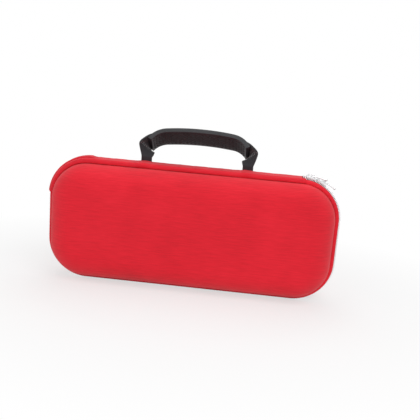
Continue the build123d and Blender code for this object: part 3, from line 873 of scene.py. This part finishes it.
# %% Pulls
def pivot(start_degrees):
    middle = math.radians(start_degrees) + 5 * MM / CORNER
    radius = CORNER + 2.275 * MM
    return Vector((ARC_X + radius * math.sin(middle), 0, ARC_Z + radius * math.cos(middle)))


def pull(name, start_degrees, below, side_step):
    pin = pivot(start_degrees)
    along = Vector((math.cos(math.radians(below)), 0, -math.sin(math.radians(below))))
    out = Vector((0, -1, 0))
    arm = 1.5
    yoke = [(0, -arm), (0, 0), (0, arm), (1.6, arm), (4.6, arm), (5.9, arm * 0.7), (6.3, 0),
            (5.9, -arm * 0.7), (4.6, -arm), (1.6, -arm)]
    ring = wire(f"{name}_yoke", [pin + along * a * MM + out * s * MM for a, s in yoke], 0.45 * MM, closed=True)
    knee = min(side_step, arm)
    leg_points = [(5.6, knee), (7.4, (knee + side_step) / 2), (10.5, side_step), (14.5, side_step)]
    leg = wire(f"{name}_leg", [pin + along * a * MM + out * s * MM for a, s in leg_points], 0.62 * MM)
    start()
    bpy.ops.mesh.primitive_uv_sphere_add(segments=16, ring_count=10, radius=1.25 * MM,
                                         location=pin + along * 14.3 * MM + out * side_step * MM)
    drop = named(f"{name}_drop")
    whole = join([leg, ring, drop], f"{name}_wire")
    smooth(whole, 50)
    return whole


upper_pull = pull("upper_pull", 4.5, 9.0, 3.9)
dress(upper_pull, slider_metal, "upper_pull", "nickel", "upper_pull")
lower_pull = pull("lower_pull", 19.5, 29.0, 0.0)
dress(lower_pull, slider_metal, "lower_pull", "nickel", "lower_pull")

# %% [markdown]
# ## The handle's path
# The handle is an arch that leans back over the rear half: a nearly flat crown, a round bend at each end and a
# short straight leg. We describe it by distance along its outer face, measured from the crown, so that the grip
# can be modelled flat and bent.

# %% Handle path
LEAN = math.radians(40)
HINGE_AT = Vector((0, 8.0 * MM, FOLD_Z + 4.5 * MM))
UP = Vector((0, math.sin(LEAN), math.cos(LEAN)))
ACROSS = Vector((0, math.cos(LEAN), -math.sin(LEAN)))
SPAN, RISE, CROWN_R, BEND_R = 53.5 * MM, 30 * MM, 240 * MM, 23 * MM
BEND_OUT = SPAN - BEND_R
CROWN_ANGLE = math.asin(BEND_OUT / (CROWN_R - BEND_R))
LEG_TOP = RISE - BEND_R - (CROWN_R - BEND_R) * (1 - math.cos(CROWN_ANGLE))
CROWN_RUN = CROWN_R * CROWN_ANGLE
BEND_RUN = BEND_R * (math.pi / 2 - CROWN_ANGLE)
HALF_ARCH = CROWN_RUN + BEND_RUN + LEG_TOP


def arch_at(s):
    """The point and the outward direction on the arch at a distance from its crown."""
    sign, run = (1 if s >= 0 else -1), abs(s)
    if run < CROWN_RUN:
        angle = run / CROWN_R
        x, up = CROWN_R * math.sin(angle), RISE - CROWN_R * (1 - math.cos(angle))
    else:
        angle = min(math.pi / 2, CROWN_ANGLE + (run - CROWN_RUN) / BEND_R)
        x, up = BEND_OUT + BEND_R * math.sin(angle), LEG_TOP + BEND_R * math.cos(angle)
        up -= max(0.0, run - CROWN_RUN - BEND_RUN)
    point = HINGE_AT + Vector((sign * x, 0, 0)) + UP * up
    return point, Vector((sign * math.sin(angle), 0, 0)) + UP * math.cos(angle)


def bend_arch(piece):
    """Bends a flat piece onto the arch: x along it, y across it, z above its outer face."""
    known = {}
    for vertex in piece.data.vertices:
        key = round(vertex.co.x, 7)
        if key not in known:
            known[key] = arch_at(vertex.co.x)
        point, out = known[key]
        vertex.co = point + out * vertex.co.z + ACROSS * vertex.co.y


print("half arch", round(HALF_ARCH, 4))

# %% [markdown]
# ## The rubber grip
# The grip is moulded round the webbing. Slots across its outer face let it flex, and a zigzag of small ridges runs
# along its underside. Modelled flat, the slots are faces of a grid that are inset and pushed in.

# %% Rubber grip
GRIP_HALF, GRIP_WIDE, GRIP_THICK = 55.5 * MM, 24 * MM, 4.5 * MM
SLOTS, SLOT_PITCH, SLOT_LONG = 10, 7.0 * MM, 4.2 * MM
start()
bpy.ops.mesh.primitive_cube_add(size=1, location=(0, 0, -GRIP_THICK / 2))
grip = bpy.context.object
grip.scale = (2 * GRIP_HALF, GRIP_WIDE, GRIP_THICK)
grip = named("handle_rubber_grip")
slot_edges = []
for number in range(SLOTS):
    middle = (number - (SLOTS - 1) / 2) * SLOT_PITCH
    slot_edges += [middle - SLOT_LONG / 2, middle + SLOT_LONG / 2]
end_cuts = [side * place * MM for side in (-1, 1) for place in (42, 46, 50, 54)]
edit(grip)
for place in slot_edges + end_cuts:
    bpy.ops.mesh.select_all(action="SELECT")
    bpy.ops.mesh.bisect(plane_co=(place, 0, 0), plane_no=(1, 0, 0))
for place in (-6.5 * MM, 6.5 * MM):
    bpy.ops.mesh.select_all(action="SELECT")
    bpy.ops.mesh.bisect(plane_co=(0, place, 0), plane_no=(0, 1, 0))


def in_slot(middle, normal):
    inside = any(abs(middle.x - (n - (SLOTS - 1) / 2) * SLOT_PITCH) < SLOT_LONG / 2 for n in range(SLOTS))
    return normal.z > 0.9 and abs(middle.y) < 6.4 * MM and inside


print("slots", pick(grip, "FACE", in_slot))
bpy.ops.mesh.inset(thickness=0.25 * MM, depth=0.0, use_individual=True)
bpy.ops.mesh.inset(thickness=0.25 * MM, depth=-1.2 * MM, use_individual=True)
done()
for vertex in grip.data.vertices:
    t = abs(vertex.co.x) / GRIP_HALF
    vertex.co.y *= 1 - 0.10 * t ** 4
modifier(grip, "BEVEL", width=0.9 * MM, segments=3, limit_method="ANGLE", angle_limit=math.radians(60))
edit(grip)
for number in range(-34, 35):
    bpy.ops.mesh.select_all(action="SELECT")
    bpy.ops.mesh.bisect(plane_co=(number * 1.7 * MM, 0, 0), plane_no=(1, 0, 0))
done()
ridges = []
for row in range(-2, 3):
    for number in range(-26, 27):
        x, y = number * 2.0 * MM, (row * 4.0 + (1.0 if number % 2 else -1.0)) * MM
        if abs(x) < GRIP_HALF - 3 * MM:
            ridges.append((x, y, 45 if number % 2 else -45))
start()
bpy.ops.mesh.primitive_cube_add(size=1)
ridge = bpy.context.object
ridge.scale = (2.6 * MM, 0.7 * MM, 0.8 * MM)
ridge = named("ridge")
edit(ridge)
pick(ridge, "FACE", lambda middle, normal: normal.z < -0.9)
bpy.ops.transform.resize(value=(0.8, 0.4, 1))
done()
ridge_copies = []
for x, y, turn in ridges:
    made = copy_of(ridge)
    made.data.transform(Matrix.Translation((x, y, -GRIP_THICK - 0.12 * MM)) @ Matrix.Rotation(math.radians(turn), 4, "Z"))
    ridge_copies.append(made)
bpy.data.objects.remove(ridge)
grip = join([grip] + ridge_copies, "handle_rubber_grip")
bend_arch(grip)
smooth(grip, 35)
dress(grip, rubber.material, "handle", "rubber_grip", "handle_grip")

# %% [markdown]
# ## Webbing
# Both ends of the webbing come out over the grip's outer face, turn a quarter turn on their way down and are sewn
# into the hinge cloth. A few stations, listed from the grip down to the foot, give its height, place, turn and
# width, and a smooth curve runs through them. Each end is one piece.

# %% Webbing
WEB = 1.6 * MM
FOOT_X, FOOT_DROP = 50.5 * MM, 5.3 * MM
# Height up the arch, distance from its middle, turn in degrees, half width
WEB_STATIONS = (
    (22.0, 42.2, 0, 10.8), (19.0, 48.8, 2, 10.8), (15.5, 52.0, 10, 10.5), (11.5, 53.4, 30, 9.6),
    (7.5, 51.4, 55, 8.2), (3.75, 50.6, 75, 6.6), (0.0, 50.5, 90, 5.25),
)
LAST_STATION = len(WEB_STATIONS) - 1


def web_at(t):
    """The webbing's middle, the ways across it and out of its inner face, and its half width, at a station."""
    first = min(int(t), LAST_STATION - 1)
    part = t - first
    near = [WEB_STATIONS[min(max(n, 0), LAST_STATION)] for n in range(first - 1, first + 3)]
    height, x, turn, half_width = (
        q + 0.5 * part * (r - p + part * (2 * p - 5 * q + 4 * r - s + part * (3 * (q - r) + s - p)))
        for p, q, r, s in zip(*near)
    )
    angle = math.radians(turn)
    middle = HINGE_AT + Vector((x * MM, 0, 0)) + UP * (height * MM)
    across = Vector((math.sin(angle), 0, 0)) - ACROSS * math.cos(angle)
    inner = Vector((-math.cos(angle), 0, 0)) - ACROSS * math.sin(angle)
    return middle, across, inner, half_width * MM


def webbing(side_name, sign):
    """One end, from inside the grip down to its foot in the hinge cloth."""
    start()
    bpy.ops.mesh.primitive_grid_add(x_subdivisions=56, y_subdivisions=8, size=1)
    made = named(f"handle_web_{side_name}")
    for vertex in made.data.vertices:
        t = (vertex.co.x + 0.5) * (LAST_STATION + 1)
        middle, across, _, half_width = web_at(min(t, LAST_STATION))
        place = middle + across * (2 * vertex.co.y * half_width)
        place.z -= FOOT_DROP * max(0.0, t - LAST_STATION)
        place.x *= sign
        vertex.co = place
    outward(made)
    modifier(made, "SOLIDIFY", thickness=WEB, offset=0)
    modifier(made, "BEVEL", width=0.35 * MM, segments=2, limit_method="ANGLE", angle_limit=math.radians(60))
    smooth(made, 50)
    return made


for side_name, sign in (("left", -1), ("right", 1)):
    web = webbing(side_name, sign)
    dress(web, webbing_cloth, None, "webbing", f"handle_webbing_{side_name}", f"handle_anchor_{side_name}")
    middle = HINGE_AT + Vector((sign * FOOT_X, 0, 0))
    middle - UP * 1.5 * MM
    middle + UP * 2.5 * MM
    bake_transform(web)

# %% [markdown]
# A bar of pale thread locks each end of the webbing, just above the foot. Every stitch is a short drop of thread,
# made once from a sphere and copied.

# %% Stitches
start()
bpy.ops.mesh.primitive_uv_sphere_add(segments=8, ring_count=6, radius=0.5)
stitch = named("stitch")
stitch.data.transform(Matrix.Diagonal((0.55 * MM, 1.5 * MM, 0.45 * MM, 1)))
STITCH_ROWS = (2.75, 3.08)  # places between the webbing's stations
for side_name, sign in (("left", -1), ("right", 1)):
    copies = []
    for row in STITCH_ROWS:
        middle, across, inner, half_width = web_at(row)
        for number in range(-3, 4):
            place = middle + inner * (WEB / 2 + 0.05 * MM) + across * (0.3 * number * half_width)
            made = copy_of(stitch)
            basis = Matrix((across.cross(inner), across, inner)).transposed().to_4x4()
            made.data.transform(Matrix.Translation(place) @ basis)
            for vertex in made.data.vertices:
                vertex.co.x *= sign
            copies.append(made)
    bar = join(copies, f"handle_stitches_{side_name}")
    outward(bar)
    smooth(bar, 60)
    dress(bar, thread.material, "handle", "webbing")
bpy.data.objects.remove(stitch)

# %% [markdown]
# ## Inside: straps and net pocket
# Two elastic straps bow across the rear half and hold the instrument. The front half has a pocket of net under an
# elastic hem. Neither shows while the case is closed, but they make it a real case once it opens.

# %% Elastic straps
STRAP_HALF_WIDTH, SEAT = 12.5 * MM, 27.7 * MM
for name, middle in (("left", -62 * MM), ("right", 62 * MM)):
    start()
    bpy.ops.mesh.primitive_grid_add(x_subdivisions=6, y_subdivisions=48, size=1, location=(middle, 0, 0))
    strap = bpy.context.object
    strap.scale = (2 * STRAP_HALF_WIDTH, 66.4 * MM, 1)
    strap = named(f"elastic_band_{name}")
    for vertex in strap.data.vertices:
        up = vertex.co.y
        free = 26.0 * MM
        bow = max(0.0, 1 - (up / free) ** 2) * 4.0 * MM
        gather = 0.12 * MM * math.sin(up * 2400) * (1 if abs(up) < free else 0)
        pinch = 1 - 0.05 * max(0.0, 1 - (up / free) ** 2)
        vertex.co.x = middle + (vertex.co.x - middle) * pinch
        vertex.co.z = MIDDLE + up
        vertex.co.y = SEAT - 0.6 * MM - bow + gather
    outward(strap)
    modifier(strap, "SOLIDIFY", thickness=1.0 * MM, offset=0)
    smooth(strap, 50)
    dress(strap, elastic_cloth, "rear_half", "elastic", f"elastic_strap_{name}")
tacks = []
for middle in (-62 * MM, 62 * MM):
    for z in (32.5 * MM, 92.5 * MM):
        start()
        bpy.ops.mesh.primitive_grid_add(x_subdivisions=8, y_subdivisions=4, size=1,
                                        location=(middle, 28.1 * MM, z), rotation=(math.pi / 2, 0, 0))
        tack = bpy.context.object
        tack.scale = (25 * MM, 7 * MM, 1)
        tack = named("tack")
        modifier(tack, "SOLIDIFY", thickness=0.7 * MM, offset=0)
        modifier(tack, "BEVEL", width=0.2 * MM, segments=2, limit_method="ANGLE", angle_limit=math.radians(60))
        tacks.append(tack)
strap_ends = join(tacks, "elastic_strap_ends")
smooth(strap_ends, 50)
dress(strap_ends, elastic_cloth, "rear_half", "webbing", "strap_tacks")

# %% [markdown]
# The net is a real lattice: a grid whose faces are inset and opened, so that only its cords remain. It ripples
# a little towards and away from the lining.

# %% Net pocket
POCKET_WIDE, POCKET_HIGH, NET_Y = 222 * MM, 62 * MM, 26.5 * MM
start()
bpy.ops.mesh.primitive_grid_add(x_subdivisions=60, y_subdivisions=16, size=1,
                                location=(0, -NET_Y, MIDDLE - 2 * MM), rotation=(math.pi / 2, 0, 0))
net = bpy.context.object
net.scale = (POCKET_WIDE - 8 * MM, POCKET_HIGH - 8 * MM, 1)
net = named("pocket_mesh_net")
edit(net)
bpy.ops.mesh.select_all(action="SELECT")
bpy.ops.mesh.inset(thickness=0.55 * MM, depth=0, use_individual=True)
bpy.ops.mesh.delete(type="FACE")
done()
for vertex in net.data.vertices:
    vertex.co.y += 0.25 * MM * math.sin(vertex.co.x * 60) * math.sin(vertex.co.z * 50)
modifier(net, "SOLIDIFY", thickness=0.6 * MM, offset=0)
smooth(net, 40)
dress(net, net_cord, "front_half", "net", "pocket_net")

start()
bpy.ops.mesh.primitive_plane_add(size=1, location=(0, -27.2 * MM, MIDDLE), rotation=(math.pi / 2, 0, 0))
trim = bpy.context.object
trim.scale = (POCKET_WIDE, POCKET_HIGH, 1)
trim = named("pocket_binding")
edit(trim, "VERT")
pick(trim, "VERT", lambda middle, normal: middle.z < MIDDLE)
bpy.ops.mesh.bevel(offset=9 * MM, affect="VERTICES", segments=8)
bpy.ops.mesh.select_mode(type="FACE")
bpy.ops.mesh.select_all(action="SELECT")
bpy.ops.mesh.inset(thickness=6 * MM, depth=0)
bpy.ops.mesh.delete(type="FACE")
pick(trim, "FACE", lambda middle, normal: middle.z > MIDDLE + POCKET_HIGH / 2 - 6 * MM)
bpy.ops.mesh.delete(type="FACE")
done()
modifier(trim, "SOLIDIFY", thickness=2.0 * MM, offset=0)
modifier(trim, "BEVEL", width=0.5 * MM, segments=2, limit_method="ANGLE", angle_limit=math.radians(60))
smooth(trim, 50)
dress(trim, binding_cloth, "front_half", "binding", "pocket_trim")

start()
bpy.ops.mesh.primitive_grid_add(x_subdivisions=180, y_subdivisions=4, size=1,
                                location=(0, -26.1 * MM, MIDDLE + POCKET_HIGH / 2 - 3 * MM),
                                rotation=(math.pi / 2, 0, 0))
hem = bpy.context.object
hem.scale = (POCKET_WIDE, 6 * MM, 1)
hem = named("pocket_elastic_hem")
for vertex in hem.data.vertices:
    vertex.co.y += 0.18 * MM * math.sin(vertex.co.x * 1900)
modifier(hem, "SOLIDIFY", thickness=1.6 * MM, offset=0)
modifier(hem, "BEVEL", width=0.4 * MM, segments=2, limit_method="ANGLE", angle_limit=math.radians(60))
smooth(hem, 50)
dress(hem, elastic_cloth, "front_half", "elastic", "pocket_hem")

# %% [markdown]
# ## Metal ends of the zip
# The stops stay as the frame's own nodes. They only need the zip's metal.

# %% Zip ends
for node in ("rear_zip_stops", "front_zip_stop"):
    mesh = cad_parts[node].data
    mesh.materials.clear()
    mesh.materials.append(slider_metal)
print("stops finished")

# %% [markdown]
# ## Studio
# The floor and backdrop are white to the camera and to mirrors, but still catch a soft shadow. Two large soft
# lamps and a pale world light the case at a level where a colour renders about as it is written.

# %% Floor, light and world
start()
bpy.ops.mesh.primitive_plane_add(size=6, location=(0, 1.5, 0))
floor = named("studio_floor")
paper = Material("studio_paper", 0.9, Specular_IOR_Level=0.0)
paper.shader.inputs["Base Color"].default_value = (0.86, 0.86, 0.86, 1)
camera_ray, glossy_ray, through_ray = (
    paper.node("LightPath", output=f"Is {kind} Ray") for kind in ("Camera", "Glossy", "Transmission")
)
seen_ray = camera_ray.maths("MAXIMUM", glossy_ray).maths("MAXIMUM", through_ray)
distance = paper.node("VectorMath", {"operation": "LENGTH"}, output="Value", i0=paper.place(scale=(1, 1.4, 1)))
far = (distance - 0.16).maths("MULTIPLY", 4.5, clamp=True)
glow = paper.node("Emission", Color=(1, 1, 1, 1), Strength=1.0)
paper_mix = paper.node(
    "MixShader", i0=seen_ray * (0.62 + far * 0.38), i1=Value(paper.tree, paper.shader.outputs[0]), i2=glow
)
paper.tree.links.new(paper_mix.socket, paper.tree.nodes["Material Output"].inputs["Surface"])
floor.data.materials.append(paper.material)

world = bpy.context.scene.world or bpy.data.worlds.new("studio")
bpy.context.scene.world = world
world.use_nodes = True
sky = world.node_tree
sky.nodes.clear()
path = sky.nodes.new("ShaderNodeLightPath")
seen = sky.nodes.new("ShaderNodeMath")
seen.operation = "MAXIMUM"
sky.links.new(path.outputs["Is Camera Ray"], seen.inputs[0])
sky.links.new(path.outputs["Is Glossy Ray"], seen.inputs[1])
both = sky.nodes.new("ShaderNodeMath")
both.operation = "MAXIMUM"
sky.links.new(seen.outputs[0], both.inputs[0])
sky.links.new(path.outputs["Is Transmission Ray"], both.inputs[1])
ambient = sky.nodes.new("ShaderNodeBackground")
ambient.inputs["Color"].default_value = (1, 1, 1, 1)
ambient.inputs["Strength"].default_value = 0.42
white = sky.nodes.new("ShaderNodeBackground")
white.inputs["Color"].default_value = (1, 1, 1, 1)
white.inputs["Strength"].default_value = 1.0
mixed = sky.nodes.new("ShaderNodeMixShader")
sky.links.new(both.outputs[0], mixed.inputs[0])
sky.links.new(ambient.outputs[0], mixed.inputs[1])
sky.links.new(white.outputs[0], mixed.inputs[2])
out_node = sky.nodes.new("ShaderNodeOutputWorld")
sky.links.new(mixed.outputs[0], out_node.inputs[0])


def lamp(name, place, aim, size, power):
    start()
    bpy.ops.object.light_add(type="AREA", location=place)
    made = bpy.context.object
    made.name = name
    made.data.size = size
    made.data.energy = power
    made.rotation_mode = "QUATERNION"
    made.rotation_quaternion = (Vector(aim) - Vector(place)).to_track_quat("-Z", "Y")
    return made


TARGET = (0, 0, 0.06)
lamp("soft_key", (0.55, -0.9, 1.0), TARGET, 0.9, 8.4)
lamp("soft_fill", (-0.9, -0.8, 0.6), TARGET, 1.0, 3.2)
lamp("top_light", (0.0, 0.35, 1.1), TARGET, 0.8, 3.8)
print("studio ready")

# %% [markdown]
# ## Camera
# The camera stands a little right of the middle and a little above, and is rolled a few degrees, so the right end
# of the case comes nearer and the case falls away to the right. Its numbers come from fitting the case's outline.

# %% Camera
TURN, TILT, ROLL = math.radians(4.43), math.radians(13.63), math.radians(4.61)
DISTANCE, AIM = 656.9 * MM, Vector((17.2 * MM, 0, 82.5 * MM))
back = Vector((math.sin(TURN) * math.cos(TILT), -math.cos(TURN) * math.cos(TILT), math.sin(TILT)))
right = Vector((math.cos(TURN), math.sin(TURN), 0))
up = back.cross(right)
camera_x = right * math.cos(ROLL) + up * math.sin(ROLL)
camera_y = up * math.cos(ROLL) - right * math.sin(ROLL)
bpy.ops.object.camera_add()
camera = bpy.context.object
camera.name = "photo_camera"
camera.matrix_world = Matrix.Translation(AIM + back * DISTANCE) @ Matrix((camera_x, camera_y, back)).transposed().to_4x4()
camera.data.sensor_width = 36
camera.data.lens = 56.82
camera.data.clip_start = 0.01
bpy.context.scene.camera = camera
bpy.context.scene.view_settings.view_transform = "Standard"
print("camera at", [round(v, 3) for v in camera.location])
